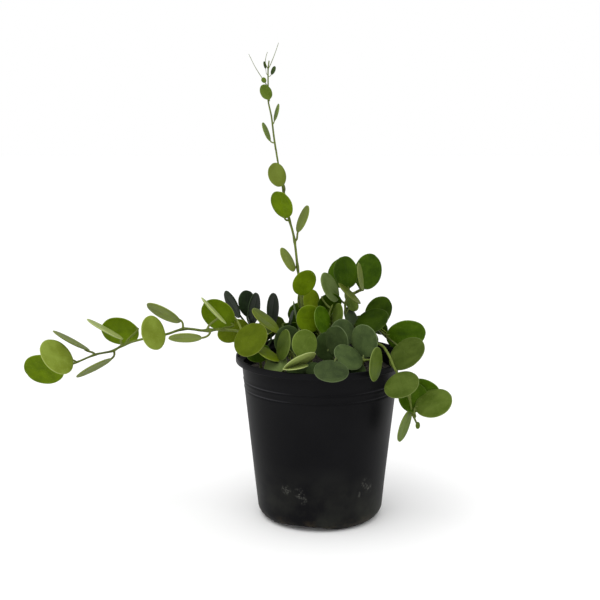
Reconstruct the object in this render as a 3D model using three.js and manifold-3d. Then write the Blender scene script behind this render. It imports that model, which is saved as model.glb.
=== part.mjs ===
// A silver dollar vine in a black nursery pot: round, thick leaves on short stalks along thin trailing stems.
// Units are millimetres and +Z is up. The origin is the centre of the pot's underside, and -Y is the front.
import * as THREE from 'three';
import { mergeVertices } from 'three/addons/utils/BufferGeometryUtils.js';
import Module from 'manifold-3d';

const wasm = await Module();
wasm.setup();

// ---- driving dimensions ----
const CLEARANCE = 0.3;

const POT = {
  height: 162,
  rimRadius: 83,
  rimSideHeight: 6,
  rimTaperHeight: 0.8,
  neckRadius: 77.3,
  wall: 1.6,
  footRadius: 62.2,
  cornerRadius: 12,
  steps: [{ z: 138.5, depth: 0.9 }, { z: 130.5, depth: 0.9 }],
  segments: 40,
  padRadius: 16,
  recessRadius: 47,
  recessHeight: 6.2,
  recessSlope: 4,
  notchCount: 3,
  firstNotchAngle: -107,
  notchWidth: 56,
  notchHeight: 6,
  notchDepth: 24,
};

const SOIL = { top: 146, crown: 3, wallGap: 1, rootDepth: 10, socketGap: 1, segments: 24 };

const STEM = { sides: 6, stepLength: 8 };

const LEAF = {
  sides: 14,
  thickness: 2.8,
  thicknessPerLength: 0.085,
  cup: 0.05,
  stalkRadius: 1.0,
  stalkSides: 5,
  stalkSteps: 3,
  stalkBite: 2.2,
};

// ---- materials ----
const colours = {
  pot: { color: 0x15161a, roughness: 0.55 },
  soil: { color: 0x2b1f17, roughness: 0.95 },
  stem: { color: 0x6f8048, roughness: 0.6 },
  leaf: { color: 0x4f6a25, roughness: 0.45 },
};

function material(name) {
  return new THREE.MeshStandardMaterial({ ...colours[name], metalness: 0 });
}

// ---- solids ----
function toSolid(geometry) {
  const positions = geometry.clone();
  for (const name of Object.keys(positions.attributes)) {
    if (name !== 'position') positions.deleteAttribute(name);
  }
  const merged = mergeVertices(positions.index ? positions.toNonIndexed() : positions, 1e-4);
  return new wasm.Manifold(new wasm.Mesh({
    numProp: 3,
    vertProperties: new Float32Array(merged.attributes.position.array),
    triVerts: new Uint32Array(merged.index.array),
  }));
}

function toGeometry(solid) {
  const mesh = solid.getMesh();
  const geometry = new THREE.BufferGeometry();
  geometry.setAttribute('position', new THREE.BufferAttribute(mesh.vertProperties, 3));
  geometry.setIndex(new THREE.BufferAttribute(mesh.triVerts, 1));
  return geometry;
}

function piece(name, solid, look) {
  const geometry = toGeometry(solid).toNonIndexed();
  geometry.computeVertexNormals();
  const mesh = new THREE.Mesh(geometry, material(look));
  mesh.name = name;
  return mesh;
}

// Turns a closed [radius, height] outline about the Z axis.
function lathe(outline, segments) {
  const points = outline.map(([radius, z]) => new THREE.Vector2(radius, z));
  return toSolid(new THREE.LatheGeometry(points, segments).rotateX(Math.PI / 2));
}

function polygon(sides, radius) {
  const corners = Array.from({ length: sides }, (_, i) => {
    const angle = (2 * Math.PI * i) / sides;
    return new THREE.Vector2(radius * Math.cos(angle), radius * Math.sin(angle));
  });
  return new THREE.Shape(corners);
}

function tube(curve, radius, sides, steps) {
  return toSolid(new THREE.ExtrudeGeometry(polygon(sides, radius), {
    steps,
    extrudePath: curve,
    bevelEnabled: false,
  }));
}

// ---- pot ----
// The outer wall from the foot to the rim: a rounded corner, a straight taper with two fine steps, and a broad lip.
function potOuterWall() {
  const { cornerRadius, footRadius, height, rimRadius, neckRadius } = POT;
  const neckZ = height - POT.rimSideHeight - POT.rimTaperHeight;
  const slope = (neckRadius - footRadius) / (neckZ - cornerRadius);
  const wallRadius = (z) => footRadius + slope * (z - cornerRadius);
  const corner = [0, 22.5, 45, 67.5, 90].map((degrees) => {
    const angle = THREE.MathUtils.degToRad(degrees);
    return [
      footRadius - cornerRadius + cornerRadius * Math.sin(angle),
      cornerRadius - cornerRadius * Math.cos(angle),
    ];
  });
  const steps = [...POT.steps].sort((a, b) => a.z - b.z).flatMap(({ z, depth }) => [
    [wallRadius(z) - depth, z],
    [wallRadius(z), z + depth],
  ]);
  const lip = [
    [neckRadius, neckZ],
    [rimRadius, height - POT.rimSideHeight],
    [rimRadius, height - 1],
    [rimRadius - 1, height],
  ];
  return [...corner, ...steps, ...lip];
}

function potInnerRadius(z) {
  const neckZ = POT.height - POT.rimSideHeight - POT.rimTaperHeight;
  const slope = (POT.neckRadius - POT.footRadius) / (neckZ - POT.cornerRadius);
  return POT.footRadius - 2 * POT.wall + slope * (z - POT.cornerRadius);
}

// The moulded base from the middle outwards: a flat pad, a raised ring over the bench, and the foot it stands on.
function potBase(lift) {
  const { padRadius, recessRadius, recessHeight, recessSlope } = POT;
  const inset = 0.55 * lift;
  return [
    [0, lift],
    [padRadius - inset, lift],
    [padRadius + recessSlope - inset, recessHeight + lift],
    [recessRadius - recessSlope + inset, recessHeight + lift],
    [recessRadius + inset, lift],
  ];
}

function makePot() {
  const neckZ = POT.height - POT.rimSideHeight - POT.rimTaperHeight;
  const { cornerRadius, footRadius, wall } = POT;
  const inner = [
    [POT.rimRadius - 1 - wall, POT.height],
    [POT.rimRadius - 1 - wall, neckZ + 1],
    [potInnerRadius(neckZ), neckZ - 1],
    [potInnerRadius(cornerRadius), cornerRadius],
    [footRadius - 0.4 * cornerRadius, 0.5 * cornerRadius],
    [footRadius - cornerRadius + wall, wall],
    ...potBase(wall).reverse(),
  ];
  let pot = lathe([...potBase(0), ...potOuterWall(), ...inner], POT.segments);
  const notchCentre = footRadius - POT.notchDepth / 2 + 2;
  for (let i = 0; i < POT.notchCount; i++) {
    const angle = POT.firstNotchAngle + (360 * i) / POT.notchCount;
    const notch = wasm.Manifold.cylinder(POT.notchDepth, 1, 1, 28, true)
      .scale([POT.notchHeight, POT.notchWidth / 2, 1])
      .rotate([0, 90, 0])
      .translate([notchCentre, 0, 0])
      .rotate([0, 0, angle]);
    pot = pot.subtract(notch);
  }
  return piece('pot', pot, 'pot');
}

// ---- soil ----
function makeSoil(stems) {
  const bottom = potBase(POT.wall + CLEARANCE).slice(0, 3);
  const shelf = POT.recessHeight + POT.wall + CLEARANCE;
  const outline = [
    ...bottom,
    [potInnerRadius(POT.cornerRadius) - 3 * SOIL.wallGap, shelf],
    [potInnerRadius(POT.cornerRadius) - SOIL.wallGap, POT.cornerRadius + 1],
    [potInnerRadius(SOIL.top) - SOIL.wallGap, SOIL.top - 2],
    [potInnerRadius(SOIL.top) * 0.9, SOIL.top],
    [0, SOIL.top + SOIL.crown],
  ];
  let soil = lathe(outline, SOIL.segments);
  for (const stem of stems) {
    const [x, y] = stem.route[0];
    const socket = wasm.Manifold.cylinder(
      SOIL.rootDepth * 2, stem.radius + SOIL.socketGap, stem.radius + SOIL.socketGap, 8,
    ).translate([x, y, SOIL.top - SOIL.rootDepth - CLEARANCE]);
    soil = soil.subtract(socket);
  }
  return piece('soil', soil, 'soil');
}

// ---- stems and leaves ----
// Each stem is a hand-set route, from its foot in the soil to its tip, with the leaves that grow from it.
// A leaf has the share of the stem's length where its stalk starts (at), the middle of its blade (centre),
// the way its front face looks, as a compass angle from -Y towards +X (yaw) and an angle above level (pitch),
// and the blade's length and width.
const stems = [
  {
    name: 'left_vine',
    radius: 1.2,
    route: [
      [-58, -6], [-64, -12, 176], [-74, -15, 186], [-97, -17, 190], [-112, -18, 189], [-131, -19, 191],
      [-148, -20, 186], [-172, -20, 181], [-189, -21, 176], [-200, -22, 170], [-216, -24, 167],
      [-234, -27, 160], [-246, -28, 156],
    ],
    leaves: [
      { at: 1.00, centre: [-268, -18, 151], yaw: -3, pitch: -32, length: 40, width: 40 },
      { at: 0.95, centre: [-250, -43, 169], yaw: 57, pitch: 38, length: 38, width: 38 },
      { at: 0.87, centre: [-242, -14, 178], yaw: 109, pitch: 58, length: 40, width: 40 },
      { at: 0.79, centre: [-217, -32, 156], yaw: 60, pitch: -57, length: 39, width: 36 },
      { at: 0.75, centre: [-205, -36, 194], yaw: 109, pitch: 58, length: 40, width: 40 },
      { at: 0.73, centre: [-196, 0, 185], yaw: -7, pitch: -30, length: 38, width: 36 },
      { at: 0.62, centre: [-159, -38, 191], yaw: 56, pitch: 18, length: 33, width: 33 },
      { at: 0.49, centre: [-152, -10, 205], yaw: -39, pitch: -50, length: 38, width: 36 },
      { at: 0.38, centre: [-130, -26, 184], yaw: 2, pitch: -62, length: 32, width: 32 },
      { at: 0.39, centre: [-102, -32, 211], yaw: 98, pitch: 43, length: 34, width: 34 },
      { at: 0.33, centre: [-100, 2, 201], yaw: -20, pitch: -15, length: 36, width: 34 },
      { at: 0.25, centre: [-87, 20, 181], yaw: 24, pitch: -31, length: 33, width: 32 },
      { at: 0.16, centre: [-66, -50, 187], yaw: -33, pitch: 37, length: 36, width: 35 },
    ],
  },
  {
    name: 'upright_vine',
    radius: 1.2,
    route: [
      [-8, 8], [-14, 5, 163], [-16, 2, 190], [-19, 0, 221], [-22, 0, 245], [-26, 0, 278], [-31, 0, 297],
      [-37, 0, 328], [-41, 0, 349], [-43, 0, 362],
    ],
    leaves: [
      { at: 0.82, centre: [-42, -9, 338], yaw: 42, pitch: 17, length: 23, width: 23 },
      { at: 0.70, centre: [-37, -10, 310], yaw: -40, pitch: -17, length: 28, width: 27 },
      { at: 0.61, centre: [-17, 2, 295], yaw: -73, pitch: 23, length: 28, width: 26 },
      { at: 0.50, centre: [-32, -5, 256], yaw: 73, pitch: 29, length: 27, width: 26 },
      { at: 0.40, centre: [-16, -12, 235], yaw: 29, pitch: -15, length: 27, width: 26 },
      { at: 0.30, centre: [-9, 8, 214], yaw: 43, pitch: 10, length: 23, width: 22 },
    ],
  },
  {
    name: 'back_right_vine',
    radius: 1.3,
    route: [
      [24, 20], [25, 18, 172], [26, 20, 190], [25, 22, 207], [29, 24, 216], [37, 26, 219], [43, 28, 221],
    ],
    leaves: [
      { at: 0.82, centre: [26, 33, 238], yaw: -47, pitch: -1, length: 33, width: 34 },
      { at: 1.00, centre: [48, 42, 237], yaw: 35, pitch: -3, length: 37, width: 37 },
      { at: 0.92, centre: [39, 12, 237], yaw: 78, pitch: 10, length: 29, width: 27 },
      { at: 0.88, centre: [28, 4, 221], yaw: 84, pitch: 48, length: 30, width: 29 },
      { at: 0.75, centre: [9, 14, 226], yaw: 62, pitch: 27, length: 32, width: 31 },
    ],
  },
  {
    name: 'right_vine',
    radius: 1.2,
    route: [[36, -6], [36, -4, 172], [40, 2, 181], [46, 8, 186], [56, 6, 186], [64, -2, 180]],
    leaves: [
      { at: 0.68, centre: [58, 22, 200], yaw: 31, pitch: -9, length: 33, width: 33 },
      { at: 0.60, centre: [50, -8, 196], yaw: -36, pitch: 56, length: 35, width: 35 },
      { at: 0.95, centre: [84, 4, 180], yaw: 8, pitch: -28, length: 40, width: 39 },
      { at: 1.00, centre: [81, -50, 173], yaw: -52, pitch: 44, length: 39, width: 38 },
    ],
  },
  {
    name: 'trailing_vine',
    radius: 1.2,
    route: [
      [40, -18], [42, -24, 170], [50, -34, 180], [58, -42, 179], [64, -52, 171], [68, -59, 162],
      [72, -61, 155], [77, -61, 145], [83, -55, 132], [86, -48, 118], [90, -45, 107], [93, -43, 101],
    ],
    leaves: [
      { at: 0.70, centre: [73, -83, 152], yaw: -37, pitch: 53, length: 33, width: 33 },
      { at: 0.78, centre: [97, -32, 131], yaw: -16, pitch: -26, length: 37, width: 36 },
      { at: 0.90, centre: [106, -56, 127], yaw: -33, pitch: 55, length: 37, width: 36 },
      { at: 0.92, centre: [79, -48, 103], yaw: 64, pitch: -11, length: 33, width: 30 },
    ],
  },
  {
    name: 'front_vine',
    radius: 1.2,
    route: [[18, -32], [22, -40, 162], [31, -42, 164], [43, -43, 166], [50, -51, 168]],
    leaves: [
      { at: 0.72, centre: [25, -50, 170], yaw: 36, pitch: 48, length: 30, width: 30 },
      { at: 0.25, centre: [8, -96, 168], yaw: 4, pitch: 61, length: 32, width: 32 },
      { at: 1.00, centre: [49, -76, 170], yaw: 64, pitch: -1, length: 34, width: 32 },
      { at: 0.78, centre: [41, -41, 184], yaw: -42, pitch: 3, length: 32, width: 32 },
    ],
  },
  {
    name: 'front_left_vine',
    radius: 1.1,
    route: [[-36, -20], [-37, -24, 165], [-36, -31, 173], [-31, -42, 175], [-27, -50, 174]],
    leaves: [
      { at: 0.50, centre: [-53, -24, 200], yaw: 78, pitch: 52, length: 35, width: 34 },
      { at: 0.85, centre: [-35, -50, 182], yaw: -66, pitch: 13, length: 31, width: 29 },
      { at: 1.00, centre: [-16, -55, 184], yaw: 33, pitch: 11, length: 28, width: 28 },
      { at: 0.92, centre: [-20, -72, 172], yaw: 42, pitch: -52, length: 34, width: 32 },
      { at: 0.35, centre: [-51, -47, 173], yaw: 74, pitch: 60, length: 26, width: 26 },
    ],
  },
  {
    name: 'back_left_vine',
    radius: 1.2,
    route: [[-54, 30], [-57, 33, 164], [-62, 36, 173], [-70, 36, 181]],
    leaves: [
      { at: 1.00, centre: [-89, 48, 203], yaw: -60, pitch: -20, length: 31, width: 29 },
      { at: 0.85, centre: [-74, 60, 201], yaw: 52, pitch: 14, length: 28, width: 28 },
      { at: 0.70, centre: [-67, 49, 198], yaw: 68, pitch: -5, length: 33, width: 31 },
      { at: 0.50, centre: [-48, 46, 199], yaw: 68, pitch: 4, length: 32, width: 30 },
    ],
  },
  {
    name: 'middle_vine',
    radius: 1.2,
    route: [[4, -8], [5, -4, 166], [9, 2, 182], [8, 4, 198], [12, 6, 210]],
    leaves: [
      { at: 0.50, centre: [21, -10, 185], yaw: 26, pitch: 11, length: 28, width: 27 },
      { at: 0.30, centre: [15, -28, 181], yaw: -41, pitch: 0, length: 31, width: 30 },
      { at: 0.70, centre: [1, -14, 199], yaw: 56, pitch: 16, length: 28, width: 27 },
    ],
  },
];

// The young end of the upright vine, one growth: its twig, unfolding leaves and fine climbing tendrils.
const shoot = {
  name: 'upright_vine_shoot',
  radius: 0.9,
  route: [[-43, 0, 362.8], [-45, 0, 375], [-47, 0, 392], [-50, 0, 407], [-50, 0, 421], [-50, 0, 435], [-49, 0, 444]],
  leaves: [
    { at: 0.06, centre: [-52, -1, 378], yaw: 88, pitch: 26, length: 19, width: 15 },
    { at: 0.28, centre: [-42, -1, 396], yaw: -89, pitch: 17, length: 17, width: 13 },
    { at: 0.55, centre: [-52, -4, 415], yaw: 25, pitch: 10, length: 15, width: 12 },
    { at: 0.68, centre: [-54, -1, 426], yaw: 20, pitch: 10, length: 5.5, width: 5 },
    { at: 0.82, centre: [-45, -1, 435], yaw: -50, pitch: 10, length: 9, width: 6 },
    { at: 0.84, centre: [-53, 0, 440], yaw: 60, pitch: 10, length: 7, width: 5 },
  ],
  stalkRadius: 0.5,
  tendrilRadius: 0.45,
  tendrils: [
    [[-50, 0, 420], [-55, 0, 427], [-62, 0, 438], [-68, 0, 450]],
    [[-50, 0, 436], [-47, 0, 442], [-43, 1, 452], [-40, 1, 461]],
    [[-50, 0, 436], [-52.5, 1, 442], [-52, 1, 447], [-50.5, 1, 452]],
  ],
};

function stemCurve(stem) {
  const foot = stem.route[0];
  const base = new THREE.Vector3(foot[0], foot[1], SOIL.top - SOIL.rootDepth);
  const collar = new THREE.Vector3(foot[0], foot[1], SOIL.top + 4);
  const rest = stem.route.slice(1).map((point) => new THREE.Vector3(...point));
  return new THREE.CatmullRomCurve3([base, collar, ...rest], false, 'centripetal');
}

function makeStem(stem, curve) {
  const steps = Math.max(6, Math.round(curve.getLength() / STEM.stepLength));
  return piece(`${stem.name}_stem`, tube(curve, stem.radius, STEM.sides, steps), 'stem');
}

// A thick round blade in its own axes: +X from its base to its tip, +Z out of its slightly hollow front face.
function leafBlade({ length, width }) {
  const half = Math.min(LEAF.thickness, length * LEAF.thicknessPerLength) / 2;
  const blade = new THREE.LatheGeometry([
    new THREE.Vector2(0, -half),
    new THREE.Vector2(0.8, -0.9 * half),
    new THREE.Vector2(1, 0),
    new THREE.Vector2(0.8, 0.9 * half),
    new THREE.Vector2(0, half),
  ], LEAF.sides).rotateX(Math.PI / 2);
  blade.scale(length / 2, width / 2, 1);
  const positions = blade.attributes.position;
  for (let i = 0; i < positions.count; i++) {
    const reach = Math.hypot(positions.getX(i) / (length / 2), positions.getY(i) / (width / 2));
    positions.setZ(i, positions.getZ(i) + LEAF.cup * (length / 2) * (reach * reach - 0.5));
  }
  return blade;
}

// A blade and its stalk. The stalk starts a hair off the stem's surface, or at the middle of the stem to join it.
function leafSolid(leaf, stem, curve, joined) {
  const yaw = THREE.MathUtils.degToRad(leaf.yaw);
  const pitch = THREE.MathUtils.degToRad(leaf.pitch);
  const facing = new THREE.Vector3(
    Math.sin(yaw) * Math.cos(pitch), -Math.cos(yaw) * Math.cos(pitch), Math.sin(pitch),
  );
  const centre = new THREE.Vector3(...leaf.centre);
  const node = curve.getPointAt(leaf.at);
  const outward = centre.clone().sub(node).projectOnPlane(facing).normalize();
  const across = facing.clone().cross(outward);
  const blade = leafBlade(leaf);
  blade.applyMatrix4(new THREE.Matrix4().makeBasis(outward, across, facing).setPosition(centre));

  const base = centre.clone().addScaledVector(outward, -leaf.length / 2);
  const inside = base.clone().addScaledVector(outward, LEAF.stalkBite * Math.min(1, leaf.length / 20));
  const leaving = leaf.at < 1
    ? base.clone().sub(node).projectOnPlane(curve.getTangentAt(leaf.at)).normalize()
    : curve.getTangentAt(1);
  const gap = leaf.at < 1 ? stem.radius + CLEARANCE : CLEARANCE;
  const start = node.clone().addScaledVector(leaving, joined ? 0 : gap);
  const bend = start.distanceTo(base) * 0.4;
  const stalk = new THREE.CubicBezierCurve3(
    start,
    start.clone().addScaledVector(leaving, bend),
    base.clone().addScaledVector(outward, -bend),
    inside,
  );
  const radius = stem.stalkRadius ?? LEAF.stalkRadius;
  return toSolid(blade).add(tube(stalk, radius, LEAF.stalkSides, LEAF.stalkSteps));
}

function makeShoot() {
  const curve = new THREE.CatmullRomCurve3(shoot.route.map((point) => new THREE.Vector3(...point)));
  let solid = tube(curve, shoot.radius, STEM.sides, 12);
  for (const leaf of shoot.leaves) {
    solid = solid.add(leafSolid(leaf, shoot, curve, true));
  }
  for (const points of shoot.tendrils) {
    const line = new THREE.CatmullRomCurve3(points.map((point) => new THREE.Vector3(...point)));
    solid = solid.add(tube(line, shoot.tendrilRadius, LEAF.stalkSides, 4));
  }
  return piece(shoot.name, solid, 'stem');
}

const group = new THREE.Group();
group.name = 'potted_silver_dollar_vine';
group.add(makePot(), makeSoil(stems));
for (const stem of stems) {
  const curve = stemCurve(stem);
  group.add(makeStem(stem, curve));
  stem.leaves.forEach((leaf, i) => {
    const number = String(i + 1).padStart(2, '0');
    group.add(piece(`${stem.name}_leaf_${number}`, leafSolid(leaf, stem, curve, false), 'leaf'));
  });
}

group.add(makeShoot());

export default group;
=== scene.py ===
"""A silver dollar vine in a black nursery pot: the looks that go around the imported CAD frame."""
import math
import random

import bmesh
import bpy
import numpy as np
from mathutils import Matrix, Vector, noise


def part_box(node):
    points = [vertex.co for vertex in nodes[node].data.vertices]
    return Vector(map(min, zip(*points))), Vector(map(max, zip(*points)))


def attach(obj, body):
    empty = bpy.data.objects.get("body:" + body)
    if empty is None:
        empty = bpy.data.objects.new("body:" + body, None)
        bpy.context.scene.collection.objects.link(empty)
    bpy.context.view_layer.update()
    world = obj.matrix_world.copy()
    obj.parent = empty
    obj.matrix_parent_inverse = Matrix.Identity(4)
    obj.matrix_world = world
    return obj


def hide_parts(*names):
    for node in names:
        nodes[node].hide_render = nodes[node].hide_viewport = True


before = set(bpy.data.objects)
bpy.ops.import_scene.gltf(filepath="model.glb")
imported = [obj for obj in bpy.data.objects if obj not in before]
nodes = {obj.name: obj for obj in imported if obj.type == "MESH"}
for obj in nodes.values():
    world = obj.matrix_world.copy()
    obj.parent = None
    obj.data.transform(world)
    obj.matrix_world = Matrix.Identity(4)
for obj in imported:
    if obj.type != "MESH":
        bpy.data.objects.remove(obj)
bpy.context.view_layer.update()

MM = 0.001
BODY = "root"
SEED = 7

# ---- how finely each piece is built ----
BLADE_SEGMENTS = 56
BLADE_RINGS = (0.16, 0.32, 0.47, 0.6, 0.71, 0.8, 0.87, 0.92, 0.955, 0.98, 0.994)
STALK_SIDES = 10
STALK_STEPS = 10
STEM_SIDES = 12
STEM_STEP = 1.6 * MM
CURVE_STEPS = 8
POT_SEGMENTS = 192
CORNER_STEPS = 8
WALL_STEP = 4 * MM
SOIL_RINGS = 46
SOIL_SEGMENTS = 128
CRUMB_COUNT = 900

# ---- plant sizes ----
LEAF_THICKNESS = 2.5 * MM
LEAF_THICKNESS_PER_LENGTH = 0.075
SMALL_LEAF_WIDTH = 0.97
STALK_RADIUS = 1.1 * MM
STALK_SINK = 0.9 * MM
FULL_STALK_LEAF = 30 * MM
STEM_RADIUS = 1.2 * MM
STEM_SWELLING = 2.2 * MM
ROOT_DEPTH = 13 * MM
TWIG_RADIUS = 0.95 * MM
TWIG_END_RADIUS = 0.6 * MM
TENDRIL_RADIUS = 0.4 * MM

# The waves in a blade's outline: how many go round it and how deep they are, as a share of its radius.
OUTLINE_WAVES = ((2, 0.012), (3, 0.009), (7, 0.004))

# Pale scuffs on the pot's wall: a place on the pot and how far the mark reaches, in mm.
SCUFFS = (
    ((-20, -61, 40), 7),
    ((-17, -62, 33), 5),
    ((-33, -56, 42), 6),
    ((43, -50, 47), 7),
    ((38, -53, 36), 4),
    ((46, -46, 40), 6),
)


# ---- small helpers ----
def srgb(red, green, blue):
    """A screen colour, 0 to 255, as the linear colour that shaders use."""
    def linear(value):
        value /= 255
        return value / 12.92 if value <= 0.04045 else ((value + 0.055) / 1.055) ** 2.4
    return (linear(red), linear(green), linear(blue), 1.0)


def smoothstep(low, high, value):
    """A soft ramp from 0 at the low value to 1 at the high one."""
    t = np.clip((value - low) / (high - low), 0.0, 1.0)
    return t * t * (3 - 2 * t)


def unit(vector):
    """The vector at a length of 1."""
    return vector / max(np.linalg.norm(vector), 1e-12)


def turned_by(angles, direction):
    """How far each angle lies from a direction, the short way round."""
    return np.abs(np.angle(np.exp(1j * (angles - direction))))


def make_piece(name, vertices, faces, material, replaces=(), attributes=None, smooth=True):
    """A mesh piece that rides on the plant's one body."""
    mesh = bpy.data.meshes.new(name)
    mesh.from_pydata([tuple(v) for v in vertices], [], faces)
    mesh.validate()
    for key, values in (attributes or {}).items():
        layer = mesh.attributes.new(key, "FLOAT", "POINT")
        layer.data.foreach_set("value", np.asarray(values, np.float32))
    mesh.polygons.foreach_set("use_smooth", [smooth] * len(mesh.polygons))
    mesh.materials.append(material)
    mesh.update()
    obj = bpy.data.objects.new(name, mesh)
    bpy.context.scene.collection.objects.link(obj)
    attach(obj, BODY)
    if replaces:
        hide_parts(*replaces)
    return obj


def sharpen(obj, degrees):
    """Marks the edges that turn by more than this angle, so that they shade as creases."""
    shape = bmesh.new()
    shape.from_mesh(obj.data)
    for edge in shape.edges:
        edge.smooth = len(edge.link_faces) == 2 and edge.calc_face_angle() < math.radians(degrees)
    shape.to_mesh(obj.data)
    shape.free()


# ---- reading the frame ----
WELD = 0.001 * MM
CAP_REACH = 2.1 * MM
SLIVER_SHARE = 1e-6
FLAT_SHARE = 0.8
RIM_SHARE = 0.45


def node_mesh(name):
    """A CAD node's welded corners and its triangles, in metres."""
    mesh = nodes[name].data
    mesh.calc_loop_triangles()
    points = np.array([v.co[:] for v in mesh.vertices])
    triangles = np.array([t.vertices[:] for t in mesh.loop_triangles])
    grid = np.round(points / WELD).astype(np.int64)
    welded, index = np.unique(grid, axis=0, return_inverse=True)
    return welded * WELD, index.reshape(-1)[triangles]


def read_stem(name):
    """The middle line of a stem, from its foot to its tip: the means of its rings of corners."""
    points, triangles = node_mesh(name)
    neighbours = [set() for _ in points]
    for a, b, c in triangles:
        neighbours[a] |= {b, c}
        neighbours[b] |= {a, c}
        neighbours[c] |= {a, b}
    foot_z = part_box("soil")[1].z - ROOT_DEPTH
    ring = set(np.where(np.abs(points[:, 2] - foot_z) < 10 * WELD)[0])
    seen = set(ring)
    line = []
    while ring:
        line.append(points[list(ring)].mean(0))
        ring = {n for p in ring for n in neighbours[p]} - seen
        seen |= ring
    return np.array(line)


def read_leaf(name, stem_line):
    """A leaf's blade and its stalk's foot, the part nearest the stem, measured on its CAD solid."""
    points, triangles = node_mesh(name)
    a, b, c = (points[triangles[:, i]] for i in range(3))
    area_normals = np.cross(b - a, c - a) / 2
    areas = np.linalg.norm(area_normals, axis=1)
    solid = areas > areas.max() * SLIVER_SHARE
    triangles, a, b, c, area_normals, areas = (x[solid] for x in (triangles, a, b, c, area_normals, areas))
    normals = area_normals / areas[:, None]
    spread = np.einsum("i,ij,ik->jk", areas, normals, normals)
    facing = np.linalg.eigh(spread)[1][:, 2]
    flat = np.abs(normals @ facing) > FLAT_SHARE
    centre = np.average(((a + b + c) / 3)[flat], axis=0, weights=areas[flat])
    to_stem = np.linalg.norm(points[:, None] - stem_line[None], axis=2).min(axis=1)
    foot = points[np.argmin(to_stem)]
    cap = points[np.linalg.norm(points - foot, axis=1) < CAP_REACH]
    start = cap.mean(0)
    leaving = np.linalg.svd(cap - start)[2][2]
    if leaving @ (centre - start) < 0:
        leaving = -leaving
    outward = centre - start
    outward = unit(outward - facing * (outward @ facing))
    blade = points[np.unique(triangles[flat])] - centre
    reach = blade @ outward
    across = blade @ np.cross(facing, outward)
    width = np.ptp(across)
    rim = np.abs(across) > RIM_SHARE * width
    # The front face is the hollow one, towards which the rim is lifted.
    lift = blade @ facing
    if lift[rim].mean() < 0:
        facing = -facing
    return dict(centre=centre, facing=facing, outward=outward, length=2 * reach.max(), width=width,
                start=start, leaving=leaving)


# ---- shapes ----
def tube(points, radii, sides):
    """Rings of corners along a line, with closed ends. Returns (vertices, faces)."""
    points = np.asarray(points, float)
    tangents = np.gradient(points, axis=0)
    side = unit(np.cross(tangents[0], (0.3, 0.5, 0.81)))
    angles = np.arange(sides) * 2 * math.pi / sides
    rings = []
    for point, tangent, radius in zip(points, tangents, radii):
        tangent = unit(tangent)
        side = unit(side - tangent * (side @ tangent))
        other = np.cross(tangent, side)
        rings.append(point + radius * (np.outer(np.cos(angles), side) + np.outer(np.sin(angles), other)))
    faces = []
    for i in range(len(points) - 1):
        for j in range(sides):
            k = (j + 1) % sides
            faces.append((i * sides + j, i * sides + k, (i + 1) * sides + k, (i + 1) * sides + j))
    last = (len(points) - 1) * sides
    faces.append(tuple(range(sides - 1, -1, -1)))
    faces.append(tuple(last + j for j in range(sides)))
    return np.vstack(rings), faces


def smooth_line(points):
    """A Catmull-Rom curve through the points, resampled at an even step."""
    points = np.asarray(points, float)
    padded = np.vstack([2 * points[0] - points[1], points, 2 * points[-1] - points[-2]])
    fine = []
    for p0, p1, p2, p3 in zip(padded, padded[1:], padded[2:], padded[3:]):
        for t in np.linspace(0, 1, CURVE_STEPS, endpoint=False):
            fine.append(0.5 * (2 * p1 + (p2 - p0) * t + (2 * p0 - 5 * p1 + 4 * p2 - p3) * t ** 2
                               + (3 * p1 - p0 - 3 * p2 + p3) * t ** 3))
    fine = np.vstack([fine, points[-1]])
    along = np.r_[0, np.cumsum(np.linalg.norm(np.diff(fine, axis=0), axis=1))]
    count = max(4, int(round(along[-1] / STEM_STEP)) + 1)
    even = np.linspace(0, along[-1], count)
    return np.stack([np.interp(even, along, fine[:, i]) for i in range(3)], axis=1)


def bezier(p0, p1, p2, p3, steps):
    """A cubic curve from p0 to p3 that leaves towards p1 and arrives from p2."""
    t = np.linspace(0, 1, steps + 1)[:, None]
    return (1 - t) ** 3 * p0 + 3 * (1 - t) ** 2 * t * p1 + 3 * (1 - t) * t ** 2 * p2 + t ** 3 * p3


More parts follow.
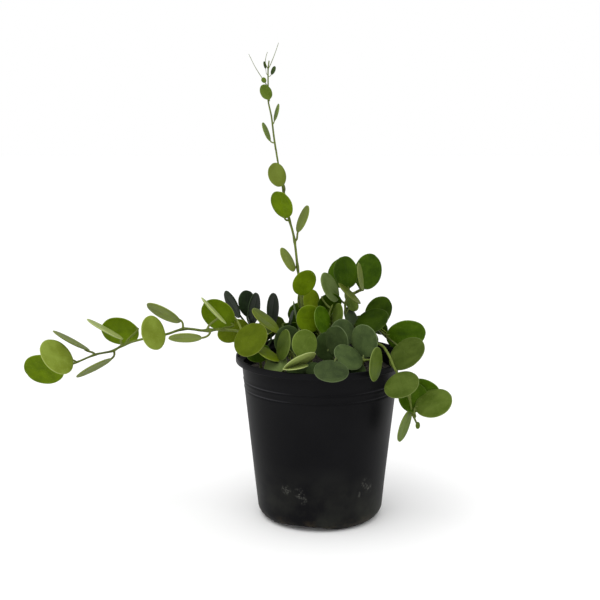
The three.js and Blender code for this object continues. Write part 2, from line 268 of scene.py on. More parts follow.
def blade_mesh(leaf, rng):
    """A thick, nearly round blade: a rounded rim, a slightly hollow front face and a faint middle groove."""
    half_length, half_width = leaf["length"] / 2, leaf["width"] / 2
    thickness = min(LEAF_THICKNESS, leaf["length"] * LEAF_THICKNESS_PER_LENGTH)
    # How far the rim is lifted all round, and how far the tip bends forwards and the base back.
    cup = rng.uniform(0.03, 0.075) * half_length
    bend = rng.uniform(-0.03, 0.04) * half_length
    angles = np.arange(BLADE_SEGMENTS) * 2 * math.pi / BLADE_SEGMENTS
    outline = np.ones(BLADE_SEGMENTS)
    for waves, depth in OUTLINE_WAVES:
        outline += depth * np.cos(waves * angles + rng.uniform(0, 2 * math.pi))
    # The blade runs out a little to its stalk and has a slight dent at its tip.
    outline += 0.025 * np.exp(-(turned_by(angles, math.pi) / 0.16) ** 2)
    outline -= 0.015 * np.exp(-(turned_by(angles, 0) / 0.12) ** 2)

    def sheet(radius, side):
        """One ring of corners: on the front face for a side of 1, the back for -1 and the rim for 0."""
        share = radius * outline
        x = half_length * share * np.cos(angles)
        y = half_width * share * np.sin(angles)
        swell = math.sqrt(max(0.0, 1 - radius ** 7)) * (0.82 + 0.18 * (1 - radius ** 2))
        groove = 0.09 * thickness * np.exp(-(y / (0.07 * half_width)) ** 2) * (1 - radius ** 3)
        z = cup * (radius ** 2 - 0.5) + bend * (x / half_length) ** 2 * np.sign(x)
        z = z + side * thickness / 2 * swell - (groove if side > 0 else 0)
        return np.stack([x, y, z], axis=1)

    front = [sheet(radius, 1) for radius in BLADE_RINGS]
    back = [sheet(radius, -1) for radius in reversed(BLADE_RINGS)]
    rows = [*front, sheet(1.0, 0), *back]
    local = np.vstack([sheet(0.0, 1)[:1], *rows, sheet(0.0, -1)[:1]])
    rings = [*BLADE_RINGS, 1.0, *reversed(BLADE_RINGS)]
    edge = np.r_[0.0, np.repeat(rings, BLADE_SEGMENTS), 0.0]
    n = BLADE_SEGMENTS
    faces = [(0, 1 + j, 1 + (j + 1) % n) for j in range(n)]
    for i in range(len(rows) - 1):
        for j in range(n):
            k = (j + 1) % n
            faces.append((1 + i * n + j, 1 + (i + 1) * n + j, 1 + (i + 1) * n + k, 1 + i * n + k))
    last = 1 + (len(rows) - 1) * n
    for j in range(n):
        faces.append((last + j, last + n, last + (j + 1) % n))
    side = np.cross(leaf["facing"], leaf["outward"])
    basis = np.stack([leaf["outward"], side, leaf["facing"]])
    # The third value rises to 1 on the rim, where the leaf's material paints a pale highlight.
    return leaf["centre"] + local @ basis, faces, smoothstep(0.95, 1.0, edge)


def stalk_mesh(leaf):
    """A round stalk from a little way inside the stem to a little way inside the blade."""
    base = leaf["centre"] - leaf["outward"] * leaf["length"] / 2
    start = leaf["start"] - leaf["leaving"] * STALK_SINK
    inside = base + leaf["outward"] * 0.07 * leaf["length"]
    reach = np.linalg.norm(base - start) * 0.4
    leaving = start + leaf["leaving"] * reach
    arriving = base - leaf["outward"] * reach
    line = bezier(start, leaving, arriving, inside, STALK_STEPS)
    share = np.linspace(0, 1, len(line))
    size = min(1.0, leaf["length"] / FULL_STALK_LEAF)
    radii = STALK_RADIUS * size * (1 + 0.35 * np.exp(-(share / 0.12) ** 2) - 0.12 * share)
    return tube(line, radii, STALK_SIDES)


def make_leaf(name, leaf, look, replaces=(), shading_and_tone=1.0):
    """A leaf with its stalk. Its tone makes the look's colours darker, under 1, or lighter; besides the
    leaf's own tone, this paints shade and light onto the leaf.
    """
    rng = random.Random(f"{SEED} {name}")
    blade, blade_faces, edge = blade_mesh(leaf, rng)
    stalk, stalk_faces = stalk_mesh(leaf)
    faces = blade_faces + [tuple(i + len(blade) for i in face) for face in stalk_faces]
    count = len(blade) + len(stalk)
    # The first of these marks the rim, for its painted highlight.
    attributes = {
        "leaf_edge": np.r_[edge, np.zeros(len(stalk))],
        "leaf_stalk": np.r_[np.zeros(len(blade)), np.ones(len(stalk))],
        "leaf_tone": np.full(count, shading_and_tone * rng.uniform(0.95, 1.05)),
    }
    vertices = np.vstack([blade, stalk])
    make_piece(name, vertices, faces, leaf_materials[look], replaces, attributes)


# ---- materials ----
STEM_GREEN = srgb(102, 116, 50)
STEM_SHADE = srgb(78, 88, 36)
STEM_SPECK = srgb(130, 132, 84)
PLASTIC_BLACK = srgb(9, 9, 11)
PLASTIC_GREY = srgb(15, 15, 17)
SCUFF_GREY = srgb(112, 112, 106)
# The grey of the painted highlights along the pot's ribs.
RIB_HIGHLIGHT_GREY = srgb(84, 84, 88)
WATER_FILM = srgb(84, 86, 74)
SOIL_DUST = srgb(78, 68, 50)
# The soil's two colours are damp mix and painted shade: far darker than potting mix under the light, as it
# lies under the clump.
SOIL_DARK = srgb(14, 12, 9)
SOIL_LIGHT = srgb(32, 27, 21)
BARK_DARK = srgb(24, 20, 15)
BARK_LIGHT = srgb(50, 42, 33)


def new_material(name):
    """A material, its node tree and its shader."""
    material = bpy.data.materials.new(name)
    material.use_nodes = True
    tree = material.node_tree
    return material, tree, tree.nodes["Principled BSDF"]


def add(tree, kind, **inputs):
    """A shader node with values on its inputs. An underscore stands for a space in an input's name."""
    node = tree.nodes.new(kind)
    for key, value in inputs.items():
        node.inputs[key.replace("_", " ")].default_value = value
    return node


def noise_texture(tree, scale, detail, roughness=0.55):
    """Soft noise fixed to the object. The scale is in blots per metre, roughly."""
    coordinates = tree.nodes.new("ShaderNodeTexCoord")
    texture = add(tree, "ShaderNodeTexNoise", Scale=scale, Detail=detail, Roughness=roughness)
    tree.links.new(coordinates.outputs["Object"], texture.inputs["Vector"])
    return texture.outputs["Fac"]


def attribute(tree, name):
    """A number that each corner of the mesh carries."""
    node = tree.nodes.new("ShaderNodeAttribute")
    node.attribute_name = name
    return node.outputs["Fac"]


def remap(tree, value, low, high, to_low=0.0, to_high=1.0):
    """The value's range from low to high, stretched to another range and held at its ends."""
    node = add(tree, "ShaderNodeMapRange", From_Min=low, From_Max=high, To_Min=to_low, To_Max=to_high)
    tree.links.new(value, node.inputs["Value"])
    return node.outputs["Result"]


def feed(tree, socket, value):
    """Gives a socket another socket's value, or a constant one."""
    if isinstance(value, bpy.types.NodeSocket):
        tree.links.new(value, socket)
    else:
        socket.default_value = value


def mix(tree, share, first, second):
    """The first colour with a share of the second one. Each is a colour or a socket."""
    node = tree.nodes.new("ShaderNodeMix")
    node.data_type = "RGBA"
    feed(tree, node.inputs[0], share)
    feed(tree, node.inputs[6], first)
    feed(tree, node.inputs[7], second)
    return node.outputs[2]


def math_node(tree, operation, first, second=0.0):
    """A sum on one or two numbers, each a number or a socket."""
    node = tree.nodes.new("ShaderNodeMath")
    node.operation = operation
    feed(tree, node.inputs[0], first)
    feed(tree, node.inputs[1], second)
    return node.outputs[0]


def add_bump(tree, shader, height, distance, strength):
    """A fine relief on a shader, from a height socket."""
    bump = add(tree, "ShaderNodeBump", Distance=distance, Strength=strength)
    tree.links.new(height, bump.inputs["Height"])
    tree.links.new(bump.outputs["Normal"], shader.inputs["Normal"])


def leaf_material(name, light, dark, rim, stalk):
    """A waxy leaf: soft mottling between two greens, a few specks, a painted highlight along its rim, and
    its stalk.
    """
    material, tree, shader = new_material(f"leaf_{name}")
    patches = noise_texture(tree, scale=70, detail=3.0)
    colour = mix(tree, remap(tree, patches, 0.35, 0.65), dark, light)
    speckle = remap(tree, noise_texture(tree, scale=900, detail=2.0), 0.58, 0.75, 0.0, 0.22)
    colour = mix(tree, speckle, colour, rim)
    # Painted highlight: a pale line along the blade's rim.
    colour = mix(tree, remap(tree, attribute(tree, "leaf_edge"), 0.15, 1.0, 0.0, 0.6), colour, rim)
    colour = mix(tree, attribute(tree, "leaf_stalk"), colour, stalk)
    # Each leaf's tone scales its colour: partly its own tone, partly painted shade and painted light.
    toned = add(tree, "ShaderNodeVectorMath")
    toned.operation = "SCALE"
    tree.links.new(colour, toned.inputs[0])
    tree.links.new(attribute(tree, "leaf_tone"), toned.inputs["Scale"])
    tree.links.new(toned.outputs["Vector"], shader.inputs["Base Color"])
    shader.inputs["Specular IOR Level"].default_value = 0.03
    tree.links.new(remap(tree, patches, 0.3, 0.7, 0.42, 0.55), shader.inputs["Roughness"])
    add_bump(tree, shader, noise_texture(tree, scale=500, detail=3.0), distance=0.12 * MM, strength=0.35)
    return material


def stem_material():
    """Young green bark with fine pale specks."""
    material, tree, shader = new_material("stem")
    patches = noise_texture(tree, scale=180, detail=4.0)
    colour = mix(tree, remap(tree, patches, 0.35, 0.68), STEM_GREEN, STEM_SHADE)
    specks = remap(tree, noise_texture(tree, scale=1500, detail=2.0), 0.6, 0.7)
    colour = mix(tree, math_node(tree, "MULTIPLY", specks, 0.5), colour, STEM_SPECK)
    tree.links.new(colour, shader.inputs["Base Color"])
    shader.inputs["Roughness"].default_value = 0.62
    shader.inputs["Specular IOR Level"].default_value = 0.1
    add_bump(tree, shader, noise_texture(tree, scale=1100, detail=3.0), distance=0.2 * MM, strength=0.6)
    return material


def pot_material():
    """Black plastic with pale scuffs low on the wall, painted highlights along the ribs, a dry water film
    and dust near the foot.
    """
    material, tree, shader = new_material("pot_black_plastic")
    broad = noise_texture(tree, scale=14, detail=3.0)
    colour = mix(tree, remap(tree, broad, 0.35, 0.7), PLASTIC_BLACK, PLASTIC_GREY)
    coordinates = tree.nodes.new("ShaderNodeTexCoord")
    position = tree.nodes.new("ShaderNodeSeparateXYZ")
    tree.links.new(coordinates.outputs["Object"], position.inputs[0])
    height = position.outputs["Z"]
    fine = noise_texture(tree, scale=260, detail=8.0, roughness=0.7)
    for place, reach in SCUFFS:
        away = add(tree, "ShaderNodeVectorMath")
        away.operation = "DISTANCE"
        tree.links.new(coordinates.outputs["Object"], away.inputs[0])
        away.inputs[1].default_value = Vector(place) * MM
        near = remap(tree, away.outputs["Value"], reach * MM, 0.2 * reach * MM)
        mark = math_node(tree, "MULTIPLY", near, remap(tree, fine, 0.5, 0.64, 0.0, 0.5))
        colour = mix(tree, mark, colour, SCUFF_GREY)
    # Painted highlights: pale lines along the fine rib above each groove, strongest towards the left and
    # right sides and faint in the middle, where the rib's upper face catches the light.
    highlight_toward_sides = remap(tree, math_node(tree, "ABSOLUTE", position.outputs["X"]), 25 * MM, 75 * MM, 0.0, 0.5)
    for groove in GROOVES:
        from_rib = math_node(tree, "ABSOLUTE", math_node(tree, "SUBTRACT", height, groove + RIB_LIFT))
        rib_highlight = math_node(tree, "MULTIPLY", remap(tree, from_rib, 0.8 * MM, 0.2 * MM), highlight_toward_sides)
        rib_highlight = math_node(tree, "MULTIPLY", rib_highlight, remap(tree, broad, 0.35, 0.6, 0.3, 1.0))
        colour = mix(tree, rib_highlight, colour, RIB_HIGHLIGHT_GREY)
    film = remap(tree, noise_texture(tree, scale=26, detail=5.0, roughness=0.6), 0.42, 0.7)
    film = math_node(tree, "MULTIPLY", film, remap(tree, height, 70 * MM, 5 * MM, 0.0, 0.2))
    colour = mix(tree, film, colour, WATER_FILM)
    dust = remap(tree, noise_texture(tree, scale=70, detail=6.0, roughness=0.65), 0.47, 0.66)
    dust = math_node(tree, "MULTIPLY", dust, remap(tree, height, 14 * MM, 1 * MM, 0.0, 0.55))
    colour = mix(tree, dust, colour, SOIL_DUST)
    tree.links.new(colour, shader.inputs["Base Color"])
    shader.inputs["Specular IOR Level"].default_value = 0.06
    tree.links.new(remap(tree, broad, 0.3, 0.7, 0.42, 0.52), shader.inputs["Roughness"])
    add_bump(tree, shader, noise_texture(tree, scale=350, detail=4.0), distance=0.1 * MM, strength=0.35)
    return material


def soil_material():
    """Damp potting mix, painted much darker than its own colour as the shade under the clump."""
    material, tree, shader = new_material("soil")
    lumps = remap(tree, noise_texture(tree, scale=240, detail=6.0), 0.38, 0.66)
    colour = mix(tree, lumps, SOIL_DARK, SOIL_LIGHT)
    tree.links.new(colour, shader.inputs["Base Color"])
    shader.inputs["Roughness"].default_value = 0.95
    add_bump(tree, shader, noise_texture(tree, scale=600, detail=6.0), distance=0.8 * MM, strength=0.9)
    return material


def bark_material():
    """Brown bark, lighter from crumb to crumb."""
    material, tree, shader = new_material("bark_crumbs")
    crumbs = remap(tree, noise_texture(tree, scale=90, detail=4.0), 0.35, 0.65)
    colour = mix(tree, crumbs, BARK_DARK, BARK_LIGHT)
    tree.links.new(colour, shader.inputs["Base Color"])
    shader.inputs["Roughness"].default_value = 0.9
    add_bump(tree, shader, noise_texture(tree, scale=700, detail=5.0), distance=0.4 * MM, strength=0.8)
    return material


# The screen colours of each look of a leaf: its light patches, dark patches, rim and stalk. The rim colour
# is both the painted highlight along the rim and the colour of the specks.
# The looks carry painted light and shade besides the leaves' own greens: the saturated fresh and deep greens
# also stand for light shining through the blades, the pale look is a lighter copy for leaves that face the
# light, the edge look is a pale copy for leaves seen edge-on, as a painted sheen, and the shaded look and
# the dark grey-green one after glaucous are dark copies for leaves in shade.
LEAF_COLOURS = {
    "fresh": ((106, 124, 20), (88, 104, 12), (158, 168, 84), (104, 114, 52)),
    "deep": ((90, 112, 6), (72, 92, 2), (138, 152, 64), (92, 104, 44)),
    "pale": ((122, 138, 54), (106, 120, 38), (166, 176, 106), (112, 122, 60)),
    "edge": ((142, 156, 86), (124, 138, 68), (182, 192, 130), (116, 126, 66)),
    "forest": ((64, 90, 8), (44, 68, 2), (112, 132, 64), (92, 104, 50)),
    "mid": ((94, 112, 44), (74, 92, 28), (140, 154, 88), (104, 116, 58)),
    "sage": ((100, 116, 66), (84, 100, 50), (144, 158, 104), (108, 118, 66)),
    "glaucous": ((74, 90, 50), (54, 68, 38), (122, 138, 96), (104, 116, 68)),
    "shaded_glaucous": ((56, 72, 36), (42, 56, 26), (92, 108, 68), (84, 96, 52)),
    "shaded": ((36, 50, 28), (24, 34, 18), (64, 76, 56), (50, 62, 38)),
}
leaf_materials = {
    name: leaf_material(name, *(srgb(*colour) for colour in colours))
    for name, colours in LEAF_COLOURS.items()
}
stem_look = stem_material()
soil_look = soil_material()
bark_look = bark_material()

# ---- pot ----
pot_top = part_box("pot")[1]
POT_HEIGHT = pot_top.z
RIM_RADIUS = pot_top.x
FOOT_SHARE = 62.2 / 83
NECK_SHARE = 77.3 / 83
FOOT_RADIUS = RIM_RADIUS * FOOT_SHARE
NECK_RADIUS = RIM_RADIUS * NECK_SHARE
LIP_Z = POT_HEIGHT - 6 * MM
NECK_Z = LIP_Z - 0.8 * MM
CORNER = 12 * MM
WALL = 1.6 * MM
PAD_RADIUS = 16 * MM
RING_RADIUS = 47 * MM
BASE_LIFT = 6.2 * MM
BASE_SLOPE = 4 * MM
NOTCH_COUNT = 3
FIRST_NOTCH_ANGLE = math.radians(-107)
NOTCH_HALF_WIDTH = 28 * MM
NOTCH_HEIGHT = 6 * MM
DENT_DEPTH = 0.45 * MM
CREASE_ANGLE = 35

# The two steps round the wall: the height of each groove, how far the fine rib is above it and how far the
# pair reaches. Its corners say how far they stand out from the wall and above the groove, in mm.
GROOVES = (130.5 * MM, 138.5 * MM)
RIB_LIFT = 0.8 * MM
GROOVE_REACH = 2.2 * MM
GROOVE_CORNERS = ((-0.1, -1.6), (-0.5, -0.7), (-0.5, -0.1), (0.25, 0.3), (0.35, 0.8), (0.1, 1.3), (0, 1.9))


def wall_radius(z):
    """The outside radius of the plain tapered wall at a height."""
    return FOOT_RADIUS + (NECK_RADIUS - FOOT_RADIUS) * (z - CORNER) / (NECK_Z - CORNER)


def pot_base(lift):
    """The moulded base, outwards from its flat pad over the raised ring, at or above the underside."""
    inset = 0.55 * lift
    return [
        (PAD_RADIUS - inset, lift),
        (PAD_RADIUS + BASE_SLOPE - inset, BASE_LIFT + lift),
        (RING_RADIUS - BASE_SLOPE + inset, BASE_LIFT + lift),
        (RING_RADIUS + inset, lift),
    ]


def pot_outside():
    """The outside as (radius, height), from the pad under the base to the top of the lip."""
    corner = []
    for i in range(CORNER_STEPS + 1):
        angle = math.radians(90 * i / CORNER_STEPS)
        corner.append((FOOT_RADIUS - CORNER + CORNER * math.sin(angle), CORNER - CORNER * math.cos(angle)))
    wall = []
    z = CORNER + WALL_STEP
    while z < NECK_Z - 3 * MM:
        if all(abs(z - groove) > GROOVE_REACH for groove in GROOVES):
            wall.append((wall_radius(z), z))
        z += WALL_STEP
    for groove in GROOVES:
        wall += [(wall_radius(groove) + out * MM, groove + up * MM) for out, up in GROOVE_CORNERS]
    wall.sort(key=lambda point: point[1])
    lip = [
        (NECK_RADIUS - 0.1 * MM, NECK_Z - 1.2 * MM), (NECK_RADIUS + 0.2 * MM, NECK_Z - 0.1 * MM),
        (NECK_RADIUS + 1 * MM, NECK_Z + 0.2 * MM), (RIM_RADIUS - 0.7 * MM, LIP_Z - 0.3 * MM),
        (RIM_RADIUS - 0.2 * MM, LIP_Z), (RIM_RADIUS, LIP_Z + 0.5 * MM), (RIM_RADIUS, POT_HEIGHT - 1.2 * MM),
        (RIM_RADIUS - 0.3 * MM, POT_HEIGHT - 0.4 * MM), (RIM_RADIUS - 0.9 * MM, POT_HEIGHT),
    ]
    return pot_base(0) + corner + wall + lip


def pot_inside():
    """The inside as (radius, height), from the top of the lip down to the pad."""
    lip = [
        (RIM_RADIUS - 1.7 * MM, POT_HEIGHT - 0.2 * MM), (RIM_RADIUS - 2.2 * MM, POT_HEIGHT - 0.9 * MM),
        (RIM_RADIUS - 2.4 * MM, LIP_Z + 1 * MM), (NECK_RADIUS - WALL, NECK_Z - 1 * MM),
    ]
    wall = [(wall_radius(z * MM) - WALL, z * MM) for z in (140, 120, 90, 60, 30, 14)]
    foot = [(FOOT_RADIUS - 0.4 * CORNER, 0.5 * CORNER), (FOOT_RADIUS - CORNER + WALL, WALL)]
    return lip + wall + foot + pot_base(WALL)[::-1]


def notch_height(angle, radius):
    """How high the drain notches cut into the foot at an angle round the pot."""
    height = 0.0
    for i in range(NOTCH_COUNT):
        notch = FIRST_NOTCH_ANGLE + 2 * math.pi * i / NOTCH_COUNT
        offset = radius * math.sin(angle - notch) if math.cos(angle - notch) > 0 else NOTCH_HALF_WIDTH
        height = max(height, NOTCH_HEIGHT * math.sqrt(max(0.0, 1 - (offset / NOTCH_HALF_WIDTH) ** 2)))
    return height


def make_pot():
    """The moulded shell, turned round its axis, with arched notches and slightly uneven walls."""
    outline = [(*point, 0.0) for point in pot_outside()] + [(*point, WALL) for point in pot_inside()]
    vertices, faces = [], []
    for i in range(POT_SEGMENTS):
        angle = 2 * math.pi * i / POT_SEGMENTS
        for radius, z, above in outline:
            # Broad, shallow dents, which fade out towards the stiffer foot.
            dent = noise.noise(Vector((math.cos(angle) * 1.3, math.sin(angle) * 1.3, z * 9))) * DENT_DEPTH
            dent *= smoothstep(5 * MM, 40 * MM, z)
            height = z
            if radius > RING_RADIUS - BASE_SLOPE:
                height = max(z, notch_height(angle, radius) + above * smoothstep(0, CORNER, CORNER - z))
            vertices.append(((radius + dent) * math.cos(angle), (radius + dent) * math.sin(angle), height))
    rows = len(outline)
    for i in range(POT_SEGMENTS):
        k = (i + 1) % POT_SEGMENTS
        for j in range(rows - 1):
            faces.append((i * rows + j, k * rows + j, k * rows + j + 1, i * rows + j + 1))
    middle = len(vertices)
    vertices += [(0, 0, 0), (0, 0, WALL)]
    for i in range(POT_SEGMENTS):
        k = (i + 1) % POT_SEGMENTS
        faces.append((middle, k * rows, i * rows))
        faces.append((middle + 1, i * rows + rows - 1, k * rows + rows - 1))
    pot = make_piece("nursery_pot", vertices, faces, pot_material(), ["pot"])
    sharpen(pot, CREASE_ANGLE)


make_pot()

# ---- soil ----
soil_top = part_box("soil")[1].z
SOIL_GAP = 0.2 * MM
SOIL_DEPTH = 30 * MM
SOIL_DISH = 4.5 * MM
SOIL_ROUGHNESS = 1.8 * MM
SOIL_RADIUS = wall_radius(soil_top) - WALL - SOIL_GAP


def soil_height(x, y):
    """The height of the rough soil, which falls a little towards the wall."""
    rough = noise.fractal(Vector((x * 60, y * 60, 1.7)), 0.8, 2.1, 4)
    share = math.hypot(x, y) / SOIL_RADIUS
    return soil_top - SOIL_DISH * share ** 3 + SOIL_ROUGHNESS * rough - 1 * MM


def make_soil():
    """The upper part of the potting mix, down to a flat bottom inside the pot."""
    turns = [2 * math.pi * j / SOIL_SEGMENTS for j in range(SOIL_SEGMENTS)]
    vertices = [(0, 0, soil_height(0, 0))]
    for i in range(1, SOIL_RINGS + 1):
        radius = SOIL_RADIUS * i / SOIL_RINGS
        for angle in turns:
            x, y = radius * math.cos(angle), radius * math.sin(angle)
            vertices.append((x, y, soil_height(x, y)))
    skirt = len(vertices)
    bottom = soil_top - SOIL_DEPTH
    inner = wall_radius(bottom) - WALL - SOIL_GAP
    vertices += [(inner * math.cos(angle), inner * math.sin(angle), bottom) for angle in turns]
    faces = [(0, 1 + j, 1 + (j + 1) % SOIL_SEGMENTS) for j in range(SOIL_SEGMENTS)]
    for i in range(SOIL_RINGS):
        for j in range(SOIL_SEGMENTS):
            k = (j + 1) % SOIL_SEGMENTS
            low = 1 + i * SOIL_SEGMENTS
            high = low + SOIL_SEGMENTS
            faces.append((low + j, high + j, high + k, low + k))
    faces.append(tuple(skirt + j for j in reversed(range(SOIL_SEGMENTS))))
    make_piece("soil_top", vertices, faces, soil_look, ["soil"])


def make_crumbs():
    """Bark and peat crumbs lying on the soil."""
    rng = random.Random(SEED)
    vertices, faces = [], []
    for _ in range(CRUMB_COUNT):
        radius = (SOIL_RADIUS - 3 * MM) * math.sqrt(rng.random())
        angle = rng.uniform(0, 2 * math.pi)
        x, y = radius * math.cos(angle), radius * math.sin(angle)
        size = rng.uniform(0.8, 3.4) * MM
        heading = Matrix.Rotation(rng.uniform(0, 6.28), 3, "Z")
        turn = heading @ Matrix.Rotation(rng.uniform(-0.5, 0.5), 3, "X")
        chunk = bmesh.new()
        bmesh.ops.create_icosphere(chunk, subdivisions=1, radius=size)
        start = len(vertices)
        for vertex in chunk.verts:
            place = Vector((vertex.co.x * 1.5, vertex.co.y, vertex.co.z * 0.5)) * rng.uniform(0.75, 1.15)
            vertices.append(turn @ place + Vector((x, y, soil_height(x, y) + 0.2 * size)))
        faces += [tuple(start + v.index for v in face.verts) for face in chunk.faces]
        chunk.free()
    make_piece("bark_crumbs", vertices, faces, bark_look, smooth=False)


make_soil()
make_crumbs()

# ---- stems and leaves ----
# The look and the tone of each leaf of a stem, in the order of their numbers. A tone under 1 is darker. The
# tones were set leaf by leaf to how bright each leaf is under the light, so they are partly painted shade
# and painted light and partly the leaves' own tone.
LOOKS = {
    "left_vine": (
        ("deep", 1.1), ("pale", 1.0), ("pale", 0.6), ("pale", 0.65), ("edge", 0.95), ("deep", 1.1),
        ("pale", 1.05), ("pale", 0.85), ("pale", 0.95), ("edge", 0.95), ("deep", 1.0), ("fresh", 1.1),
        ("fresh", 0.52),
    ),
    "upright_vine": (
        ("pale", 0.68), ("deep", 1.05), ("pale", 0.68), ("pale", 0.72), ("deep", 1.0), ("fresh", 1.2),
    ),
    "back_right_vine": (("forest", 0.9), ("forest", 0.95), ("pale", 0.6), ("pale", 0.45), ("sage", 1.0)),
    "right_vine": (("forest", 0.6), ("forest", 0.45), ("forest", 1.25), ("mid", 0.6)),
    "trailing_vine": (("mid", 0.65), ("forest", 1.3), ("mid", 0.95), ("mid", 1.0)),
    "front_vine": (("glaucous", 1.0), ("glaucous", 0.62), ("mid", 0.8), ("glaucous", 1.05)),
    "front_left_vine": (("fresh", 0.62), ("mid", 0.7), ("mid", 0.95), ("edge", 0.9), ("fresh", 0.85)),
    "back_left_vine": (("shaded", 0.7), ("shaded", 1.1), ("shaded", 1.1), ("shaded", 0.9)),
    "middle_vine": (("glaucous", 1.0), ("glaucous", 0.8), ("forest", 1.2)),
}

# Small and half-hidden leaves of the clump: the stem and the share of its length where the stalk starts, the
# look, the blade's middle and size in mm, and the way its front face looks, as a compass angle from -Y
# towards +X and an angle above level.
SMALL_LEAVES = (
    ("front_left_vine", 0.6, "shaded_glaucous", (-32, -28, 181), 30, 28, 11),
    ("front_left_vine", 0.5, "shaded_glaucous", (-45, -40, 166), 21, 72, 70),
    ("front_left_vine", 0.3, "forest", (-60, -30, 170), 24, 3, 49),
    ("front_left_vine", 0.95, "edge", (-24, -72, 166), 25, -116, 81),
    ("front_left_vine", 0.4, "sage", (-43, -49, 162), 25, -40, 52),
    ("front_left_vine", 0.8, "shaded_glaucous", (-22, -55, 157), 22, -10, 55),
    ("front_left_vine", 0.7, "shaded_glaucous", (-5, -56, 158), 22, 30, 50),
    ("middle_vine", 0.3, "shaded_glaucous", (5, -20, 174), 28, 35, 10),
    ("middle_vine", 0.2, "shaded_glaucous", (12, -55, 158), 22, -30, 48),
    ("middle_vine", 0.8, "deep", (-11, -15, 200), 27, 18, 9),
    ("middle_vine", 0.95, "forest", (9, 16, 209), 26, 20, -25),
    ("middle_vine", 0.85, "mid", (17, 4, 200), 24, -67, 9),
    ("front_vine", 0.4, "shaded_glaucous", (31, -48, 158), 24, 25, 52),
    ("back_right_vine", 0.5, "shaded_glaucous", (31, 25, 193), 24, 61, 32),
    ("back_right_vine", 0.8, "forest", (21, 46, 235), 32, -40, 21),
    ("back_right_vine", 0.65, "mid", (32, 33, 206), 18, 46, 30),
    ("back_left_vine", 0.6, "shaded", (-29, 36, 189), 20, -83, 16),
    ("upright_vine", 0.2, "glaucous", (-24, 14, 198), 28, 92, 12),
    ("upright_vine", 0.27, "fresh", (-19, 14, 213), 20, 69, 4),
    ("trailing_vine", 0.93, "forest", (87, -44, 130), 29, 5, 20),
    ("trailing_vine", 0.98, "mid", (92, -47, 103), 7, 45, 10),
    ("right_vine", 0.6, "mid", (48, 30, 178), 30, 120, 34),
    ("right_vine", 0.4, "forest", (24, 14, 176), 28, -20, 62),
)

# Short vines behind the clump: the route in mm, then the look, middle, size, yaw and pitch of each leaf.
BACK_SPRIGS = (
    ([(6, 30, 143), (5, 36, 160), (0, 44, 174), (-6, 50, 184)], (
        ("forest", (-18, 56, 190), 30, 170, 20),
        ("mid", (10, 56, 181), 32, 150, 34),
        ("deep", (-4, 62, 168), 28, 176, 48),
        ("forest", (-16, 40, 172), 28, -150, 40),
    )),
    ([(40, 34, 143), (44, 40, 160), (51, 44, 174), (56, 46, 182)], (
        ("forest", (58, 54, 180), 28, 140, 30),
        ("mid", (44, 60, 178), 30, 172, 36),
        ("deep", (68, 36, 172), 30, 110, 44),
    )),
    ([(-30, 36, 143), (-32, 44, 158), (-36, 52, 168), (-40, 57, 174)], (
        ("mid", (-50, 62, 178), 28, -160, 36),
        ("forest", (-26, 64, 172), 30, 168, 44),
        ("deep", (-54, 44, 168), 28, -120, 50),
    )),
)

# The young end of the upright vine, in mm: its twig, its leaves (place on the twig, look, middle, length,
# width, yaw and pitch) and its tendrils.
TIP_ROUTE = (
    (-43, 0, 361), (-45, 0, 375), (-47, 0, 392), (-50, 0, 407), (-50, 0, 421), (-50, 0, 435), (-49, 0, 444),
)
TIP_LEAVES = (
    (0.08, "mid", (-52, -1, 378), 19, 15, 74, 20),
    (0.29, "mid", (-42, -1, 396), 17, 13, -74, 14),
    (0.55, "mid", (-52, -4, 415), 15, 12, 25, 10),
    (0.68, "mid", (-54, -1, 426), 5.5, 5, 20, 10),
    (0.82, "shaded_glaucous", (-45, -1, 435), 9, 6, -50, 10),
    (0.84, "shaded_glaucous", (-53, 0, 440), 7, 5, 60, 10),
)
TIP_TENDRILS = (
    ((-50, 0, 420), (-55, 0, 427), (-62, 0, 438), (-68, 0, 450)),
    ((-50, 0, 436), (-47, 0, 442), (-43, 1, 452), (-40, 1, 460.5)),
    ((-50, 0, 436), (-52.5, 1, 442), (-52, 1, 447), (-50.5, 1, 452)),
)


def make_stem(name, line, feet, replaces=()):
    """A stem that tapers to its tip and swells where each leaf stalk grows out of it."""
    line = smooth_line(line)
    share = np.linspace(0, 1, len(line))
    radii = STEM_RADIUS * (1.12 - 0.4 * share ** 2)
    for foot in feet:
        away = np.linalg.norm(line - foot, axis=1)
        radii *= 1 + 0.32 * np.exp(-((away - away.min()) / STEM_SWELLING) ** 2)
    radii[-1] *= 0.6
    vertices, faces = tube(line, radii, STEM_SIDES)
    make_piece(name, vertices, faces, stem_look, replaces)
    return line


def placed_leaf(line, at, centre, length, width, yaw, pitch):
    """A leaf that grows from a share of a stem's middle line, like the ones read from the frame."""
    yaw, pitch = math.radians(yaw), math.radians(pitch)
    facing = np.array((math.sin(yaw) * math.cos(pitch), -math.cos(yaw) * math.cos(pitch), math.sin(pitch)))
    centre = np.array(centre) * MM
    place = at * (len(line) - 1)
    index = min(int(place), len(line) - 2)
    node = line[index] + (line[index + 1] - line[index]) * (place - index)
    tangent = unit(line[index + 1] - line[index])
    outward = centre - node
    outward = unit(outward - facing * (outward @ facing))
    base = centre - outward * length * MM / 2
    leaving = base - node
    leaving = unit(leaving - tangent * (leaving @ tangent))
    return dict(centre=centre, facing=facing, outward=outward, length=length * MM, width=width * MM,
                start=node + leaving * STEM_RADIUS, leaving=leaving)


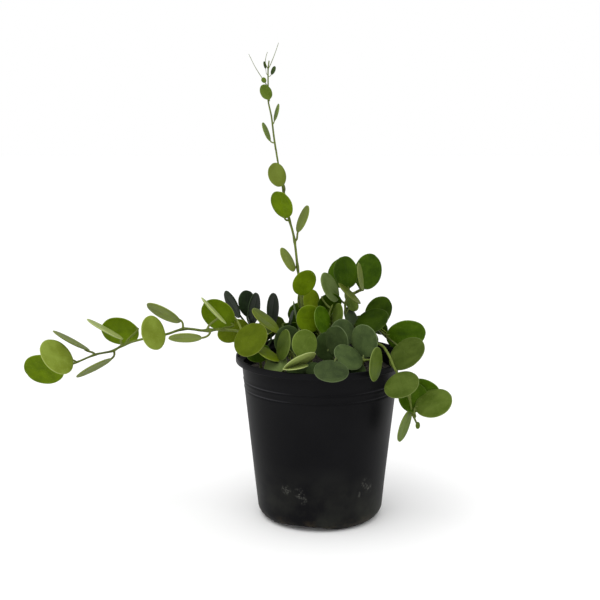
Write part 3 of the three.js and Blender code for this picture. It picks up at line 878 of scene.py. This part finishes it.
def make_vines():
    """The stems and leaves that the frame has. Returns each stem's middle line."""
    lines = {}
    for stem, looks in LOOKS.items():
        leaves = {f"{stem}_leaf_{i:02d}": leaf for i, leaf in enumerate(looks, 1)}
        line = smooth_line(read_stem(f"{stem}_stem"))
        shapes = {name: read_leaf(name, line) for name in leaves}
        feet = [shape["start"] for shape in shapes.values()]
        lines[stem] = make_stem(f"{stem}_twig", line, feet, [f"{stem}_stem"])
        for name, (look, shading_and_tone) in leaves.items():
            make_leaf(f"{name}_blade", shapes[name], look, [name], shading_and_tone)
    return lines


def make_small_leaves(lines):
    """The clump's small leaves, on the stems whose middle lines are given."""
    for i, (stem, at, look, centre, size, yaw, pitch) in enumerate(SMALL_LEAVES, 1):
        leaf = placed_leaf(lines[stem], at, centre, size, size * SMALL_LEAF_WIDTH, yaw, pitch)
        make_leaf(f"small_leaf_{i:02d}", leaf, look)


def make_back_sprigs():
    """The short vines behind the clump. Their first leaf sits at the tip and the others lower down."""
    for i, (route, leaves) in enumerate(BACK_SPRIGS, 1):
        line = smooth_line(np.array(route) * MM)
        shapes = []
        for share, (_, centre, size, yaw, pitch) in zip(np.linspace(1, 0.45, len(leaves)), leaves):
            shapes.append(placed_leaf(line, share, centre, size, size * SMALL_LEAF_WIDTH, yaw, pitch))
        make_stem(f"back_sprig_{i}", np.array(route) * MM, [shape["start"] for shape in shapes])
        for n, (shape, leaf) in enumerate(zip(shapes, leaves), 1):
            make_leaf(f"back_sprig_{i}_leaf_{n}", shape, leaf[0])


def make_tip():
    """The young end of the upright vine: its twig, small leaves and tendrils."""
    line = smooth_line(np.array(TIP_ROUTE) * MM)
    radii = np.linspace(TWIG_RADIUS, TWIG_END_RADIUS, len(line))
    vertices, faces = tube(line, radii, STEM_SIDES)
    make_piece("tip_twig", vertices, faces, stem_look, ["upright_vine_shoot"])
    for i, (at, look, centre, length, width, yaw, pitch) in enumerate(TIP_LEAVES, 1):
        leaf = placed_leaf(line, at, centre, length, width, yaw, pitch)
        # The twig is thinner than a stem, so its stalks start nearer to its middle.
        leaf["start"] = leaf["start"] - leaf["leaving"] * (STEM_RADIUS - TWIG_END_RADIUS)
        make_leaf(f"tip_leaf_{i}", leaf, look)
    for i, route in enumerate(TIP_TENDRILS, 1):
        tendril = smooth_line(np.array(route) * MM)
        sizes = np.linspace(1.0, 0.5, len(tendril)) * TENDRIL_RADIUS
        vertices, faces = tube(tendril, sizes, STALK_SIDES)
        make_piece(f"tip_tendril_{i}", vertices, faces, stem_look)


stem_lines = make_vines()
make_small_leaves(stem_lines)
make_back_sprigs()
make_tip()

# ---- floor, light and camera ----
# Places and sizes are in metres and angles in degrees. Only the camera's sensor and lens are in mm.
FLOOR_SIZE = 6.0
FLOOR_COLOUR = (0.9, 0.9, 0.9, 1)
WORLD_COLOUR = (1, 1, 1, 1)
WORLD_STRENGTH = 1.0
KEY_PLACE = (-0.4, -0.8, 1.6)
KEY_TARGET = (0, 0, 0.2)
KEY_SIZE = 1.2
KEY_POWER = 9
SUN_ANGLES = (28, -6, 0)
SUN_POWER = 0.55
SUN_SOFTNESS = 100
CAMERA_PLACE = (-0.020, -1.110, 0.420)
CAMERA_DROP = 10.43
SENSOR_WIDTH = 36
FOCAL_LENGTH = 69.54


def make_floor():
    """A plain pale floor, which is only there for the picture."""
    mesh = bpy.data.meshes.new("floor")
    corners = [(x * FLOOR_SIZE, y * FLOOR_SIZE, 0) for x, y in ((-1, -1), (1, -1), (1, 1), (-1, 1))]
    mesh.from_pydata(corners, [], [(0, 1, 2, 3)])
    floor = bpy.data.objects.new("floor", mesh)
    material, _, shader = new_material("floor")
    shader.inputs["Base Color"].default_value = FLOOR_COLOUR
    shader.inputs["Roughness"].default_value = 0.9
    mesh.materials.append(material)
    bpy.context.scene.collection.objects.link(floor)


def make_world():
    """A white backdrop that lights the plant from all round."""
    world = bpy.data.worlds.new("studio")
    world.use_nodes = True
    backdrop = world.node_tree.nodes["Background"]
    backdrop.inputs["Color"].default_value = WORLD_COLOUR
    backdrop.inputs["Strength"].default_value = WORLD_STRENGTH
    bpy.context.scene.world = world
    bpy.context.scene.view_settings.view_transform = "Standard"


def make_key_light():
    """A soft lamp above the front left."""
    light = bpy.data.lights.new("key_light", "AREA")
    light.size = KEY_SIZE
    light.energy = KEY_POWER
    lamp = bpy.data.objects.new("key_light", light)
    lamp.location = KEY_PLACE
    lamp.rotation_euler = (Vector(KEY_TARGET) - Vector(KEY_PLACE)).to_track_quat("-Z", "Y").to_euler()
    bpy.context.scene.collection.objects.link(lamp)


def make_sun():
    """A broad, even light from far off, so that the whole floor is as bright as the backdrop."""
    light = bpy.data.lights.new("sun", "SUN")
    light.energy = SUN_POWER
    light.angle = math.radians(SUN_SOFTNESS)
    lamp = bpy.data.objects.new("sun", light)
    lamp.rotation_euler = [math.radians(angle) for angle in SUN_ANGLES]
    bpy.context.scene.collection.objects.link(lamp)


def make_camera():
    """A camera in front of the plant, a little above it and looking slightly down."""
    camera = bpy.data.cameras.new("camera")
    camera.sensor_width = SENSOR_WIDTH
    camera.lens = FOCAL_LENGTH
    eye = bpy.data.objects.new("camera", camera)
    eye.location = CAMERA_PLACE
    eye.rotation_euler = (math.radians(90 - CAMERA_DROP), 0, 0)
    bpy.context.scene.collection.objects.link(eye)
    bpy.context.scene.camera = eye


make_floor()
make_world()
make_key_light()
make_sun()
make_camera()
